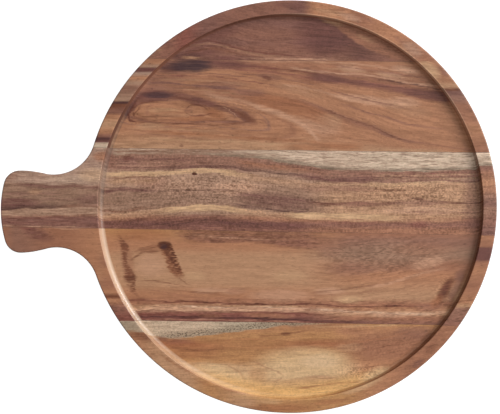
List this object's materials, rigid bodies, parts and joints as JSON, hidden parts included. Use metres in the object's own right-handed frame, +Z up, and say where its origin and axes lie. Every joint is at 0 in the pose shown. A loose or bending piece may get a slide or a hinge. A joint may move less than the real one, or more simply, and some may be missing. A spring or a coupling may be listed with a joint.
{
  "type": "pizza serving board",
  "caption": "Round wooden serving board with a shallow recess, a flat raised rim and a short waisted handle, edge-glued from staves, for serving and carrying a pizza.",
  "frame": {"origin": "on the underside, on the axis of the round part", "axes": "+Z up out of the recess, the handle along -X, +Y towards the far edge as pictured"},
  "size_m": [0.428, 0.356, 0.019],
  "materials": {
    "wood_stave_1": "oiled satin, muted brown",
    "wood_stave_2": "oiled satin, reddish tan with a cathedral figure",
    "wood_stave_3": "oiled satin, dark stripes with a pale sapwood edge",
    "wood_stave_4": "oiled satin, warm brown",
    "wood_stave_5": "oiled satin, golden tan with a pale sapwood wedge",
    "glue": "cured wood adhesive, flush with the wood"
  },
  "bodies": {
    "root": {"stave_1_far_edge": "wood_stave_1", "stave_2_upper": "wood_stave_2", "stave_3_middle": "wood_stave_3", "stave_4_lower": "wood_stave_4", "stave_5_near_edge": "wood_stave_5", "glue_line_1_2": "glue", "glue_line_2_3": "glue", "glue_line_3_4": "glue", "glue_line_4_5": "glue"}
  },
  "joints": []
}
